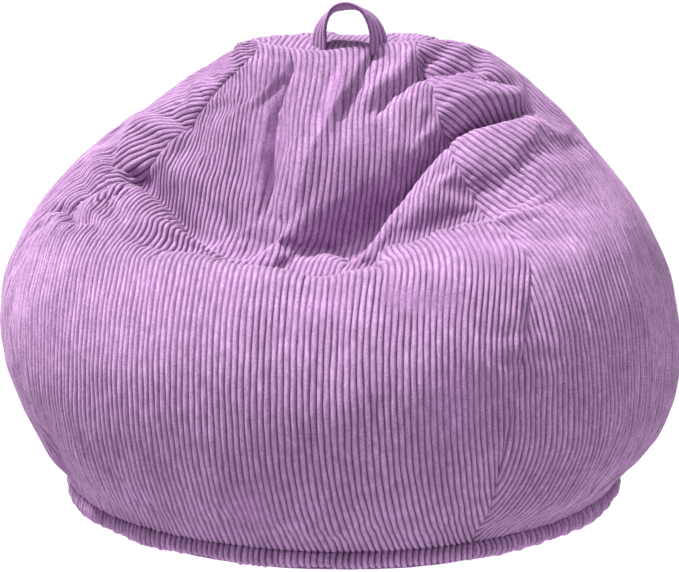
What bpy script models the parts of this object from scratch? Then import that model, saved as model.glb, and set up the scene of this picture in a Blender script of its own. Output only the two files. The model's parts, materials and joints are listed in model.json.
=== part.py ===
"""Bean bag chair: a corduroy cover in gores, a carry handle, a back zip, a liner and its bead filling.

+Z is up and Z = 0 is the floor. The seat faces -Y, and the top seam runs along X.
An azimuth is 0 at the front (-Y) and 90 degrees on the +X side.
Lengths are in metres, and angles are in degrees.
"""

import math

import bmesh
import bpy
import numpy as np
from mathutils import Matrix, Vector

COLLECTION = "bean_bag_chair"

# Cover, outer face: (radius, height) from the turned-out hem up to the top seam
HEM = [(0.3245, 0.0036), (0.3262, 0.0095), (0.3245, 0.0160), (0.3170, 0.0205)]
LEFT = HEM + [(0.327, 0.029), (0.356, 0.075), (0.387, 0.135), (0.404, 0.195), (0.403, 0.262),
              (0.372, 0.331), (0.310, 0.401), (0.222, 0.471), (0.140, 0.521), (0.093, 0.538)]
RIGHT = HEM + [(0.330, 0.029), (0.372, 0.075), (0.396, 0.135), (0.398, 0.195), (0.385, 0.262),
               (0.355, 0.331), (0.305, 0.401), (0.241, 0.471), (0.172, 0.522), (0.093, 0.538)]
FRONT = HEM + [(0.331, 0.029), (0.378, 0.070), (0.404, 0.130), (0.402, 0.195), (0.372, 0.262),
               (0.300, 0.320), (0.195, 0.292), (0.118, 0.345), (0.064, 0.450), (0.000, 0.538)]

# Zip at the centre back: its teeth lie on a circular arc in the plane X = 0
ZIP_CENTRE_Y = 0.170
ZIP_CENTRE_Z = 0.200
ZIP_RADIUS = 0.230
ZIP_LOW_DEG = -33.0
ZIP_HIGH_DEG = 34.0
BACK_ARC_LEVELS_DEG = (-48.0, ZIP_LOW_DEG, -16.5, -1.0, 16.0, ZIP_HIGH_DEG, 50.0)


def on_zip_arc(angle_deg, offset=0.0):
    """(y, z) on the zip's arc, moved outwards by the offset."""
    angle = math.radians(angle_deg)
    radius = ZIP_RADIUS + offset
    return (ZIP_CENTRE_Y + radius * math.cos(angle), ZIP_CENTRE_Z + radius * math.sin(angle))


BACK = (HEM + [on_zip_arc(level) for level in BACK_ARC_LEVELS_DEG]
        + [(0.218, 0.468), (0.115, 0.522), (0.000, 0.538)])

# Azimuth of each long seam, level by level
FRONT_RIGHT_SEAM = [43, 43, 43, 43, 43, 43, 43, 44.5, 48, 49.5, 46.5, 45.5, 48, 90]
FRONT_LEFT_SEAM = [-50, -50, -50, -50, -50, -50, -50.5, -51.5, -53, -57, -54, -57, -60, -90]
BACK_RIGHT_SEAM = [132] * 12 + [130, 90]
BACK_LEFT_SEAM = [-132] * 12 + [-130, -90]

# Rows of facets between one level and the next, finer along the zip and at the seat
COVER_STEPS = (1, 1, 1, 1, 2, 3, 3, 3, 3, 3, 3, 3, 2)
INNER_STEPS = (1, 1, 1, 2, 3, 3, 3, 3, 2)

CLOTH = 0.0030
GAP = 0.0003
RIDGE_INSET = 1.15

# Depths below the cover's outer face
LINER_DEPTH = 0.0110
LINER_CLOTH = 0.0012
FILL_DEPTH = 0.0180

BASE_RADIUS = 0.3290
BASE_THICKNESS = 0.0030
BASE_SEGMENTS = 72
LINER_FOOT_RADIUS = 0.3085
LINER_FOOT_HEIGHTS = (0.0052, 0.0215)
LINER_BASE_RADIUS = 0.3100
LINER_BASE_BOTTOM = 0.0036
LINER_BASE_TOP = 0.0048
FILL_FOOT_RADIUS = 0.3050
FILL_FOOT_HEIGHTS = (0.0054, 0.0225)

ZIP_SLOT_HALF = 0.0050
ZIP_SLOT_EASE_DEG = 4.0
TAPE_INNER = 0.0006
TAPE_OUTER = 0.0130
TAPE_BOTTOM = -0.0051
TAPE_TOP = -0.0041
COIL_INNER = 0.0002
COIL_OUTER = 0.0019
COIL_BOTTOM = -0.0036
COIL_TOP = -0.0015
SLIDER_MIDDLE_DEG = 30.8
SLIDER_HALF_DEG = 1.5
SLIDER_HALF_WIDTH = 0.0040
SLIDER_FLANGE_INNER = 0.0023
SLIDER_TOP = 0.0005
SLIDER_PLATE_BOTTOM = -0.0010
SLIDER_FLANGE_BOTTOM = -0.0034
BRIDGE_HALF_WIDTH = 0.0010
PULL_PIN_OFFSET = 0.0014
PULL_THICKNESS = 0.0012
PULL_LENGTH = 0.0260
STOP_HALF_WIDTH = 0.0026
STOP_HALF_DEG = 0.5

STRAP_WIDTH = 0.0290
STRAP_THICKNESS = 0.0050
STRAP_ROOT_THICKNESS = 0.0008
STRAP_TAPER = 0.0080
STRAP_STEPS = 36
HANDLE_PIVOT_Z = 0.5388
STRAP_PATH = [(-0.0445, 0.5388), (-0.0445, 0.5450), (-0.0405, 0.5600), (-0.0270, 0.5765), (0.0000, 0.5840),
              (0.0270, 0.5765), (0.0405, 0.5600), (0.0455, 0.5450), (0.0455, 0.5388)]

LILAC = (0.42, 0.22, 0.46)
LILAC_DARK = (0.30, 0.15, 0.34)
LINER_WHITE = (0.80, 0.80, 0.78)
BEAD_WHITE = (0.90, 0.90, 0.88)
NICKEL = (0.62, 0.62, 0.63)


def clear_scene():
    for item in list(bpy.data.objects):
        bpy.data.objects.remove(item, do_unlink=True)


def material(name, colour, roughness, metallic=0.0):
    made = bpy.data.materials.new(name)
    made.use_nodes = True
    shader = made.node_tree.nodes["Principled BSDF"]
    shader.inputs["Base Color"].default_value = (*colour, 1.0)
    shader.inputs["Roughness"].default_value = roughness
    shader.inputs["Metallic"].default_value = metallic
    made.diffuse_color = (*colour, 1.0)
    return made


def add_mesh(name, vertices, faces, look):
    """Make one closed mesh object with outward normals."""
    mesh = bpy.data.meshes.new(name)
    work = bmesh.new()
    corners = [work.verts.new(v) for v in vertices]
    for face in faces:
        work.faces.new([corners[i] for i in face])
    bmesh.ops.remove_doubles(work, verts=work.verts, dist=1e-6)
    bmesh.ops.recalc_face_normals(work, faces=work.faces)
    work.to_mesh(mesh)
    work.free()
    mesh.materials.append(look)
    made = bpy.data.objects.new(name, mesh)
    bpy.data.collections[COLLECTION].objects.link(made)
    return made


def move_origin(item, point):
    """Put the object's origin at a point and leave its shape where it is."""
    item.data.transform(Matrix.Translation(-Vector(point)))
    item.location = point


def level_knots():
    """Share of the way up the cover at each level, by the mean chord of the side and back sections."""
    chords = [np.linalg.norm(np.diff(np.array(s), axis=0), axis=1) for s in (LEFT, RIGHT, BACK)]
    way = np.concatenate([[0.0], np.cumsum(np.mean(chords, axis=0))])
    return way / way[-1]


KNOTS = level_knots()


def along(values, u):
    """Smooth curve through one value per level, read at the shares u."""
    values = np.array(values, float)
    values = values.reshape(len(KNOTS), -1)
    steps = np.diff(KNOTS)[:, None]
    slopes = np.diff(values, axis=0) / steps
    tangents = np.empty_like(values)
    tangents[0] = slopes[0]
    tangents[-1] = slopes[-1]
    tangents[1:-1] = (slopes[:-1] * steps[1:] + slopes[1:] * steps[:-1]) / (steps[:-1] + steps[1:])
    u = np.atleast_1d(u)
    low = np.clip(np.searchsorted(KNOTS, u, side="right") - 1, 0, len(KNOTS) - 2)
    h = steps[low]
    t = ((u - KNOTS[low]) / h[:, 0])[:, None]
    return ((2 * t**3 - 3 * t**2 + 1) * values[low] + (t**3 - 2 * t**2 + t) * h * tangents[low]
            + (3 * t**2 - 2 * t**3) * values[low + 1] + (t**3 - t**2) * h * tangents[low + 1])


def smoothstep(value, low, high):
    t = np.clip((value - low) / (high - low), 0.0, 1.0)
    return t * t * (3 - 2 * t)


def inset_section(section, u, depth):
    """The section at the shares u, moved inwards; the ridge at the top moves straight down."""
    point = along(section, u)
    reach = 1e-4
    ahead = along(section, np.minimum(u + reach, 1.0)) - along(section, np.maximum(u - reach, 0.0))
    ahead /= np.linalg.norm(ahead, axis=1)[:, None]
    ridge = smoothstep(u, 0.93, 1.0)
    outwards = ahead[:, 1] * (1 - ridge)
    upwards = -ahead[:, 0] * (1 - ridge) + RIDGE_INSET * ridge
    return point - depth * np.stack([outwards, upwards], axis=1)


def body_points(azimuth_deg, u, depth=0.0):
    """Points of the body surface; azimuth_deg is rows by columns, u is one share per row."""
    left, right, front, back = [inset_section(s, u, depth) for s in (LEFT, RIGHT, FRONT, BACK)]
    angle = np.radians(azimuth_deg)
    sine, cosine = np.sin(angle), np.cos(angle)
    side = np.where((sine < 0)[..., None], left[:, None], right[:, None])
    fore_aft = np.where((cosine > 0)[..., None], front[:, None], back[:, None])
    height = side[..., 1] * sine**2 + fore_aft[..., 1] * cosine**2
    return np.stack([side[..., 0] * sine, -fore_aft[..., 0] * cosine, height], axis=-1)


def metres_per_degree(azimuth_deg, u, depth=0.0):
    ring = np.stack([azimuth_deg - 0.5, azimuth_deg + 0.5], axis=1)
    ends = body_points(ring, u, depth)
    return np.linalg.norm(ends[:, 1] - ends[:, 0], axis=1)


def shifted(azimuth_deg, u, distance):
    """Move one azimuth per row sideways by a distance along the surface."""
    azimuth_deg = np.broadcast_to(np.asarray(azimuth_deg, float), u.shape)
    return azimuth_deg + distance / metres_per_degree(azimuth_deg, u)


def between(low, high, columns):
    share = np.linspace(0.0, 1.0, columns + 1)
    return low[:, None] * (1 - share) + high[:, None] * share


def grid_faces(rows, columns, start=0):
    faces = []
    for r in range(rows - 1):
        for c in range(columns - 1):
            a = start + r * columns + c
            faces.append((a, a + 1, a + columns + 1, a + columns))
    return faces


def shell(name, outer, inner, look):
    """Closed sheet between two grids of points with the same rows and columns."""
    rows, columns = outer.shape[:2]
    count = rows * columns
    faces = grid_faces(rows, columns) + [f[::-1] for f in grid_faces(rows, columns, count)]
    bottom = list(range(columns))
    right = [r * columns + columns - 1 for r in range(1, rows)]
    top = list(range(count - 2, count - columns - 1, -1))
    left = [r * columns for r in range(rows - 2, 0, -1)]
    rim = bottom + right + top + left
    for here, there in zip(rim, rim[1:] + rim[:1]):
        faces.append((there, here, here + count, there + count))
    points = np.concatenate([outer.reshape(-1, 3), inner.reshape(-1, 3)])
    return add_mesh(name, points.tolist(), faces, look)


def level_shares(knots, splits, top):
    """Rows of a sheet: each span between levels cut into its number of steps, ending at the share top."""
    shares = [knots[0]]
    for low, high, split in zip(knots[:-1], knots[1:], splits):
        shares += list(low + (high - low) * np.arange(1, split + 1) / split)
    shares = np.array(shares)
    shares[-1] = top
    return shares


def gore(name, low_edge, high_edge, top, columns):
    """Cover panel between two seams, each given as one azimuth per row."""
    u = level_shares(KNOTS, COVER_STEPS, top)
    low = shifted(low_edge(u), u, GAP)
    high = shifted(high_edge(u), u, -GAP)
    azimuth = between(low, high, columns)
    look = material(name, LILAC, 0.9)
    return shell(name, body_points(azimuth, u), body_points(azimuth, u, CLOTH), look)


def seam(levels):
    return lambda u: along(levels, u)[:, 0]


def zip_slot_edge(side):
    """Azimuth of a back panel's zip edge: it opens out along the zip and closes above and below it."""
    def edge(u):
        back = along(BACK, u)
        angle = np.degrees(np.arctan2(back[:, 1] - ZIP_CENTRE_Z, back[:, 0] - ZIP_CENTRE_Y))
        opened = smoothstep(angle, ZIP_LOW_DEG - ZIP_SLOT_EASE_DEG, ZIP_LOW_DEG)
        opened *= 1 - smoothstep(angle, ZIP_HIGH_DEG, ZIP_HIGH_DEG + ZIP_SLOT_EASE_DEG)
        return shifted(180.0 * side, u, -side * opened * ZIP_SLOT_HALF)
    return edge


def build_cover():
    top = 0.9990
    tip = 0.9850
    gore("front_panel", seam(FRONT_LEFT_SEAM), seam(FRONT_RIGHT_SEAM), top, 20)
    gore("right_side_panel", seam(FRONT_RIGHT_SEAM), seam(BACK_RIGHT_SEAM), tip, 16)
    gore("left_side_panel", seam(BACK_LEFT_SEAM), seam(FRONT_LEFT_SEAM), tip, 16)
    gore("back_panel_right", seam(BACK_RIGHT_SEAM), zip_slot_edge(1), top, 8)
    gore("back_panel_left", zip_slot_edge(-1), seam(BACK_LEFT_SEAM), top, 8)


def disc(name, radius, bottom, top, look):
    """Flat round sheet with a softened edge."""
    soft = (top - bottom) * 0.3
    profile = [(0.0, bottom), (radius - soft, bottom), (radius, bottom + soft), (radius, top - soft),
               (radius - soft, top), (0.0, top)]
    vertices = []
    for r, z in profile:
        for step in range(BASE_SEGMENTS if r else 1):
            angle = 2 * math.pi * step / BASE_SEGMENTS
            vertices.append((r * math.cos(angle), r * math.sin(angle), z))
    rings = [1 + BASE_SEGMENTS * i for i in range(4)]
    last = len(vertices) - 1
    faces = []
    for step in range(BASE_SEGMENTS):
        after = (step + 1) % BASE_SEGMENTS
        faces.append((0, rings[0] + step, rings[0] + after))
        faces.append((last, rings[3] + after, rings[3] + step))
        for low, high in zip(rings[:-1], rings[1:]):
            faces.append((low + step, high + step, high + after, low + after))
    return add_mesh(name, vertices, faces, look)


def foot_rows(azimuth_row, radius, heights):
    """Upright rows of points that carry a surface down to the base."""
    angle = np.radians(azimuth_row)
    x, y = radius * np.sin(angle), -radius * np.cos(angle)
    return np.stack([np.stack([x, y, np.full_like(angle, height)], axis=-1) for height in heights])


def build_liner():
    look = material("liner", LINER_WHITE, 0.7)
    for name, low, high in (("liner_front", -90.0, 90.0), ("liner_back", 90.0, 270.0)):
        u = level_shares(KNOTS[4:], INNER_STEPS, 0.9985)
        azimuth = between(shifted(low, u, GAP), shifted(high, u, -GAP), 20)
        outer = body_points(azimuth, u, LINER_DEPTH)
        inner = body_points(azimuth, u, LINER_DEPTH + LINER_CLOTH)
        outer_foot = foot_rows(azimuth[0], LINER_FOOT_RADIUS, LINER_FOOT_HEIGHTS)
        inner_foot = foot_rows(azimuth[0], LINER_FOOT_RADIUS - LINER_CLOTH, LINER_FOOT_HEIGHTS)
        shell(name, np.concatenate([outer_foot, outer]), np.concatenate([inner_foot, inner]), look)
    disc("liner_base", LINER_BASE_RADIUS, LINER_BASE_BOTTOM, LINER_BASE_TOP, look)


def build_filling():
    columns = 40
    azimuth_row = np.arange(columns) * 360.0 / columns
    u = level_shares(KNOTS[4:], INNER_STEPS, 1.0)
    azimuth = np.broadcast_to(azimuth_row, (len(u), columns))
    rows = np.concatenate([foot_rows(azimuth_row, FILL_FOOT_RADIUS, FILL_FOOT_HEIGHTS),
                           body_points(azimuth, u, FILL_DEPTH)])
    vertices = [tuple(p) for p in rows.reshape(-1, 3).tolist()]
    faces = []
    for r in range(len(rows) - 1):
        for c in range(columns):
            after = (c + 1) % columns
            faces.append((r * columns + c, r * columns + after, (r + 1) * columns + after, (r + 1) * columns + c))
    middle = len(vertices)
    vertices.append((0.0, 0.0, FILL_FOOT_HEIGHTS[0]))
    faces += [(middle, (c + 1) % columns, c) for c in range(columns)]
    add_mesh("bead_filling", vertices, faces, material("bead_filling", BEAD_WHITE, 0.8))


def arc_sweep(name, outline, low_deg, high_deg, steps, look):
    """Sweep an outline of (x, offset) points along the zip's arc."""
    vertices = []
    for step in range(steps + 1):
        angle = low_deg + (high_deg - low_deg) * step / steps
        vertices += [(x, *on_zip_arc(angle, offset)) for x, offset in outline]
    count = len(outline)
    faces = [tuple(range(count)), tuple(range(steps * count, (steps + 1) * count))]
    for step in range(steps):
        for i in range(count):
            here = step * count + i
            there = step * count + (i + 1) % count
            faces.append((here, there, there + count, here + count))
    return add_mesh(name, vertices, faces, look)


def rectangle(x_low, x_high, low, high):
    return [(x_low, low), (x_high, low), (x_high, high), (x_low, high)]


def prism(name, outline, half_width, angle_deg, look):
    """Outline of (along, offset) points at one place on the zip, as thick as twice half_width along X."""
    angle = math.radians(angle_deg)
    base_y, base_z = on_zip_arc(angle_deg)
    vertices = []
    for x in (-half_width, half_width):
        for along_zip, offset in outline:
            y = base_y + offset * math.cos(angle) - along_zip * math.sin(angle)
            z = base_z + offset * math.sin(angle) + along_zip * math.cos(angle)
            vertices.append((x, y, z))
    count = len(outline)
    faces = [tuple(range(count)), tuple(range(count, 2 * count))]
    faces += [(i, (i + 1) % count, (i + 1) % count + count, i + count) for i in range(count)]
    return add_mesh(name, vertices, faces, look)


def unite(target, other):
    """Join another solid onto the target."""
    joined = target.modifiers.new("join", "BOOLEAN")
    joined.operation = "UNION"
    joined.solver = "EXACT"
    joined.object = other
    bpy.context.view_layer.update()
    shape = bpy.data.meshes.new_from_object(target.evaluated_get(bpy.context.evaluated_depsgraph_get()))
    target.modifiers.clear()
    target.data = shape
    bpy.data.objects.remove(other, do_unlink=True)


def build_slider():
    look = material("zip_slider", NICKEL, 0.35, 1.0)
    w, f = SLIDER_HALF_WIDTH, SLIDER_FLANGE_INNER
    channel = [(-w, SLIDER_TOP), (w, SLIDER_TOP), (w, SLIDER_FLANGE_BOTTOM), (f, SLIDER_FLANGE_BOTTOM),
               (f, SLIDER_PLATE_BOTTOM), (-f, SLIDER_PLATE_BOTTOM), (-f, SLIDER_FLANGE_BOTTOM),
               (-w, SLIDER_FLANGE_BOTTOM)]
    slider = arc_sweep("zip_slider", channel, SLIDER_MIDDLE_DEG - SLIDER_HALF_DEG,
                       SLIDER_MIDDLE_DEG + SLIDER_HALF_DEG, 4, look)
    bridge_outline = [(-0.0042, 0.0002), (-0.0042, 0.0030), (-0.0034, 0.0036), (0.0034, 0.0036),
                      (0.0042, 0.0030), (0.0042, 0.0002), (0.0024, 0.0002), (0.0024, 0.0024),
                      (-0.0024, 0.0024), (-0.0024, 0.0002)]
    bridge = prism("bridge", bridge_outline, BRIDGE_HALF_WIDTH, SLIDER_MIDDLE_DEG, look)
    unite(slider, bridge)
    move_origin(slider, (0.0, ZIP_CENTRE_Y, ZIP_CENTRE_Z))


def build_pull_tab():
    """Flat tab with a slot: its end bar lies under the slider's bridge, and the tab hangs down the zip."""
    angle = math.radians(SLIDER_MIDDLE_DEG)
    base_y, base_z = on_zip_arc(SLIDER_MIDDLE_DEG)
    end = 0.0006 - PULL_LENGTH
    outer = [(-0.0040, 0.0006), (0.0040, 0.0006), (0.0040, -0.0080), (0.0034, end + 0.0020),
             (0.0020, end), (-0.0020, end), (-0.0034, end + 0.0020), (-0.0040, -0.0080)]
    inner = [(-0.0016, -0.0006), (0.0016, -0.0006), (0.0016, -0.0040), (0.0016, -0.0052),
             (0.0006, -0.0056), (-0.0006, -0.0056), (-0.0016, -0.0052), (-0.0016, -0.0040)]
    vertices = []
    for offset in (PULL_PIN_OFFSET - PULL_THICKNESS / 2, PULL_PIN_OFFSET + PULL_THICKNESS / 2):
        for x, along_zip in outer + inner:
            y = base_y + offset * math.cos(angle) - along_zip * math.sin(angle)
            z = base_z + offset * math.sin(angle) + along_zip * math.cos(angle)
            vertices.append((x, y, z))
    faces = []
    for i in range(8):
        j = (i + 1) % 8
        faces.append((i, j, j + 8, i + 8))
        faces.append((i + 16, i + 24, j + 24, j + 16))
        faces.append((i, i + 16, j + 16, j))
        faces.append((i + 8, j + 8, j + 24, i + 24))
    tab = add_mesh("zip_pull_tab", vertices, faces, material("zip_pull_tab", NICKEL, 0.35, 1.0))
    move_origin(tab, (0.0, *on_zip_arc(SLIDER_MIDDLE_DEG, PULL_PIN_OFFSET)))


def build_zip():
    for name, side in (("left", -1), ("right", 1)):
        tape = [(side * x, offset) for x, offset in rectangle(TAPE_INNER, TAPE_OUTER, TAPE_BOTTOM, TAPE_TOP)]
        arc_sweep("zip_tape_" + name, tape, ZIP_LOW_DEG - 1.5, ZIP_HIGH_DEG + 1.5, 24,
                  material("zip_tape_" + name, LILAC_DARK, 0.85))
        coil = [(side * x, offset) for x, offset in rectangle(COIL_INNER, COIL_OUTER, COIL_BOTTOM, COIL_TOP)]
        arc_sweep("zip_coil_" + name, coil, ZIP_LOW_DEG + 0.8, ZIP_HIGH_DEG - 1.0, 24,
                  material("zip_coil_" + name, LILAC_DARK, 0.4))
    stop = rectangle(-STOP_HALF_WIDTH, STOP_HALF_WIDTH, COIL_BOTTOM, SLIDER_PLATE_BOTTOM)
    for name, angle in (("zip_top_stop", ZIP_HIGH_DEG - 0.2), ("zip_bottom_stop", ZIP_LOW_DEG)):
        arc_sweep(name, stop, angle - STOP_HALF_DEG, angle + STOP_HALF_DEG, 2, material(name, NICKEL, 0.35, 1.0))
    build_slider()
    build_pull_tab()


def strap_path(t):
    """(x, z) on the handle's centre line, t from 0 to 1."""
    points = np.array(STRAP_PATH)
    chord = np.concatenate([[0.0], np.cumsum(np.linalg.norm(np.diff(points, axis=0), axis=1))])
    chord /= chord[-1]
    slopes = np.gradient(points, chord, axis=0)
    slopes[0] = (0.0, slopes[0, 1])
    slopes[-1] = (0.0, slopes[-1, 1])
    low = min(int(np.searchsorted(chord, t, side="right")) - 1, len(chord) - 2)
    h = chord[low + 1] - chord[low]
    s = (t - chord[low]) / h
    return ((2 * s**3 - 3 * s**2 + 1) * points[low] + (s**3 - 2 * s**2 + s) * h * slopes[low]
            + (3 * s**2 - 2 * s**3) * points[low + 1] + (s**3 - s**2) * h * slopes[low + 1])


def build_handle():
    """Loop of strap: flat to the front where it enters the top seam, turned flat side up at the crown."""
    vertices = []
    for step in range(STRAP_STEPS + 1):
        t = step / STRAP_STEPS
        x, z = strap_path(t)
        ahead = strap_path(min(t + 0.01, 1.0)) - strap_path(max(t - 0.01, 0.0))
        if step in (0, STRAP_STEPS):
            ahead = np.array([0.0, 1.0 if step == 0 else -1.0])
        ahead = ahead / np.linalg.norm(ahead)
        normal = np.array([-ahead[1], 0.0, ahead[0]])
        turn = math.radians(90) * float(1 - smoothstep(min(t, 1 - t), 0.04, 0.34))
        across = math.cos(turn) * np.array([0.0, 1.0, 0.0]) + math.sin(turn) * normal
        flat = math.sin(turn) * np.array([0.0, -1.0, 0.0]) + math.cos(turn) * normal
        thickness = STRAP_ROOT_THICKNESS + (STRAP_THICKNESS - STRAP_ROOT_THICKNESS) * min(
            1.0, (z - HANDLE_PIVOT_Z) / STRAP_TAPER)
        for a, b in ((-1, -1), (1, -1), (1, 1), (-1, 1)):
            corner = np.array([x, 0.0, z]) + a * across * STRAP_WIDTH / 2 + b * flat * thickness / 2
            vertices.append(tuple(corner))
    last = 4 * STRAP_STEPS
    faces = [(0, 1, 2, 3), (last, last + 1, last + 2, last + 3)]
    for step in range(STRAP_STEPS):
        for i in range(4):
            here = 4 * step + i
            there = 4 * step + (i + 1) % 4
            faces.append((here, there, there + 4, here + 4))
    handle = add_mesh("carry_handle", vertices, faces, material("carry_handle", LILAC, 0.9))
    move_origin(handle, (0.0, 0.0, HANDLE_PIVOT_Z))


def main():
    clear_scene()
    collection = bpy.data.collections.new(COLLECTION)
    bpy.context.scene.collection.children.link(collection)
    build_cover()
    disc("base_panel", BASE_RADIUS, 0.0, BASE_THICKNESS, material("base_panel", LILAC_DARK, 0.9))
    build_liner()
    build_filling()
    build_zip()
    build_handle()


main()
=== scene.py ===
"""Looks of the corduroy bean bag chair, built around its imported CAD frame.

+Z is up, the floor is Z = 0, the seat faces -Y. Metres; azimuth 0 is the front and 90 degrees is +X.
"""
import json
import math

import bmesh
import bpy
import numpy as np
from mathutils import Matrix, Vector

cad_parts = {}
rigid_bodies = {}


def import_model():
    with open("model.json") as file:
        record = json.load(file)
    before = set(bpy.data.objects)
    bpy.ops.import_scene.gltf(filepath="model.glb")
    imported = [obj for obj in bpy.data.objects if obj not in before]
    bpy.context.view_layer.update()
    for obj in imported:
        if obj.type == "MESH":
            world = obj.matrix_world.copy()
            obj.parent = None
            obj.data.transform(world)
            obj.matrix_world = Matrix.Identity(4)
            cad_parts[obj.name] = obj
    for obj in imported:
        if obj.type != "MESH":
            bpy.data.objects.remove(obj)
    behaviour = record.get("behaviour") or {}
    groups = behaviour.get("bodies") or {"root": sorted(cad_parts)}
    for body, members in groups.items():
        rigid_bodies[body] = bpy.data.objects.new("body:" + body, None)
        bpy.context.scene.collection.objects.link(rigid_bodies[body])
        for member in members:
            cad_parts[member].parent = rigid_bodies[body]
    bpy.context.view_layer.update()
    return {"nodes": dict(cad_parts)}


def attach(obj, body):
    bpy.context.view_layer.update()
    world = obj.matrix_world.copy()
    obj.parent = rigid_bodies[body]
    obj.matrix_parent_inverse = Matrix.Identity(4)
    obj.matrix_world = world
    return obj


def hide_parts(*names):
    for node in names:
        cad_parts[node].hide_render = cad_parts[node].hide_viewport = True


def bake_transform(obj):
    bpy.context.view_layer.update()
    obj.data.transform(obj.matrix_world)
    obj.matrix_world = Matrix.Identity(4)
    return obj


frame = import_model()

# -------- body shape
def hem(radius, low, high, tuck):
    """Section of the turned-out hem, from its inner edge round to the groove above it."""
    return [(radius - 0.0125, low + 0.0012), (radius - 0.0022, low), (radius + 0.0012, low + 0.0035),
            (radius + 0.0004, high - 0.0045), (radius - tuck, high)]


# sections of the body, level by level from the hem to the crown: (distance from the middle, height)
LEFT = hem(0.3245, 0.003, 0.0205, 0.0012) + [
    (0.3262, 0.029), (0.349, 0.075), (0.38, 0.135), (0.399, 0.195), (0.399, 0.262), (0.368, 0.331),
    (0.305, 0.401), (0.214, 0.471), (0.147, 0.519), (0.112, 0.539), (0.098, 0.535)]
RIGHT = hem(0.326, 0.0085, 0.025, 0.0024) + [
    (0.3295, 0.034), (0.367, 0.075), (0.393, 0.135), (0.395, 0.195), (0.382, 0.262), (0.351, 0.331),
    (0.3, 0.401), (0.234, 0.472), (0.174, 0.522), (0.12, 0.54), (0.095, 0.535)]
FRONT = hem(0.3245, 0.008, 0.0235, 0.003) + [
    (0.33, 0.034), (0.359, 0.07), (0.389, 0.13), (0.4, 0.195), (0.377, 0.265), (0.302, 0.328),
    (0.2, 0.274), (0.122, 0.336), (0.064, 0.45), (0.014, 0.535), (0.000, 0.532)]
# the back follows the arc that the zip's slider travels on
ARC_Y = 0.17
ARC_Z = 0.2
ARC_R = 0.23
ARC_LEVELS = (-48.0, -33.0, -16.5, -1.0, 16.0, 34.0, 50.0)


def on_arc(angle, offset=0.0):
    """Distance from the middle and height of a point of the back's arc, offset outwards."""
    a = math.radians(angle)
    return (ARC_Y + (ARC_R + offset) * math.cos(a), ARC_Z + (ARC_R + offset) * math.sin(a))


BACK = (hem(0.3245, 0.004, 0.0205, 0.004) + [on_arc(level) for level in ARC_LEVELS]
        + [(0.218, 0.468), (0.11, 0.526), (0.034, 0.54), (0.000, 0.533)])

# azimuth of each seam, level by level
FRONT_RIGHT_SEAM = [43, 43, 43, 43, 43, 43, 42.5, 42.5, 44.5, 47.5, 50, 48.5, 45.5, 45, 52, 90]
FRONT_LEFT_SEAM = [-50] * 7 + [-50.5, -52.5, -56, -59.5, -58.5, -58, -59.5, -62, -90]
BACK_RIGHT_SEAM = [132] * 14 + [128, 90]
BACK_LEFT_SEAM = [-132] * 14 + [-128, -90]
# azimuth that each gore's wales run parallel to, level by level
FRONT_GRAIN = [-4] * 9 + [-5, -8, -14, -18, -26, -42, -60]
RIGHT_GRAIN = [86] * 9 + [88, 92, 98, 102, 104, 104, 100]
LEFT_GRAIN = [-90] * 9 + [-93, -100, -109, -116, -120, -120, -115]


def level_knots():
    """Share of the way up the body at each level, and the length of the whole way in metres."""
    chords = [np.linalg.norm(np.diff(np.array(s), axis=0), axis=1) for s in (LEFT, RIGHT, BACK)]
    way = np.concatenate([[0.0], np.cumsum(np.mean(chords, axis=0))])
    return way / way[-1], way[-1]


KNOTS, MEAN_LENGTH = level_knots()


def along(values, u):
    """Smooth values at shares u of the way up, from one value or row of values per level."""
    values = np.array(values, float).reshape(len(KNOTS), -1)
    steps = np.diff(KNOTS)[:, None]
    slopes = np.diff(values, axis=0) / steps
    tangents = np.empty_like(values)
    tangents[0] = slopes[0]
    tangents[-1] = slopes[-1]
    tangents[1:-1] = (slopes[:-1] * steps[1:] + slopes[1:] * steps[:-1]) / (steps[:-1] + steps[1:])
    u = np.atleast_1d(u)
    low = np.clip(np.searchsorted(KNOTS, u, side="right") - 1, 0, len(KNOTS) - 2)
    h = steps[low]
    t = ((u - KNOTS[low]) / h[:, 0])[:, None]
    return ((2 * t**3 - 3 * t**2 + 1) * values[low] + (t**3 - 2 * t**2 + t) * h * tangents[low]
            + (3 * t**2 - 2 * t**3) * values[low + 1] + (t**3 - t**2) * h * tangents[low + 1])


def smoothstep(x, low, high):
    """0 below low, 1 above high, and a smooth rise between them."""
    t = np.clip((x - low) / (high - low), 0.0, 1.0)
    return t * t * (3 - 2 * t)


def body_points(azimuth, u):
    """Points of the smooth body; azimuth is rows by columns in degrees, u is one share per row."""
    left, right, front, back = [along(s, u) for s in (LEFT, RIGHT, FRONT, BACK)]
    angle = np.radians(azimuth)
    sine, cosine = np.sin(angle), np.cos(angle)
    side = np.where((sine < 0)[..., None], left[:, None], right[:, None])
    fore = np.where((cosine > 0)[..., None], front[:, None], back[:, None])
    z = side[..., 1] * sine**2 + fore[..., 1] * cosine**2
    return np.stack([side[..., 0] * sine, -fore[..., 0] * cosine, z], axis=-1)


# -------- master grid
HEM_ROWS = 17
BODY_ROWS = 168
COLUMNS = 1440
# shares of the way up: the hem's upper edge, the groove above it, and the body's first two levels
EDGE_SHARE, GROOVE_SHARE, HEM_SHARE, LOW_SHARE = KNOTS[3:7]


def row_shares():
    """Share of the way up of every row: close in the hem, and closer in the seat than on the belly."""
    fine = np.linspace(HEM_SHARE, 1.0, 2000)
    density = 1.0 + 0.9 * smoothstep(fine, 0.56, 0.62) * (1 - smoothstep(fine, 0.93, 0.97))
    total = np.cumsum(density)
    body = np.interp(np.linspace(total[0], total[-1], BODY_ROWS), total, fine)
    return np.concatenate([np.linspace(0.0, HEM_SHARE, HEM_ROWS, endpoint=False), body])


U = row_shares()
AZIMUTH = -180.0 + 360.0 * np.arange(COLUMNS) / COLUMNS
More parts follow.
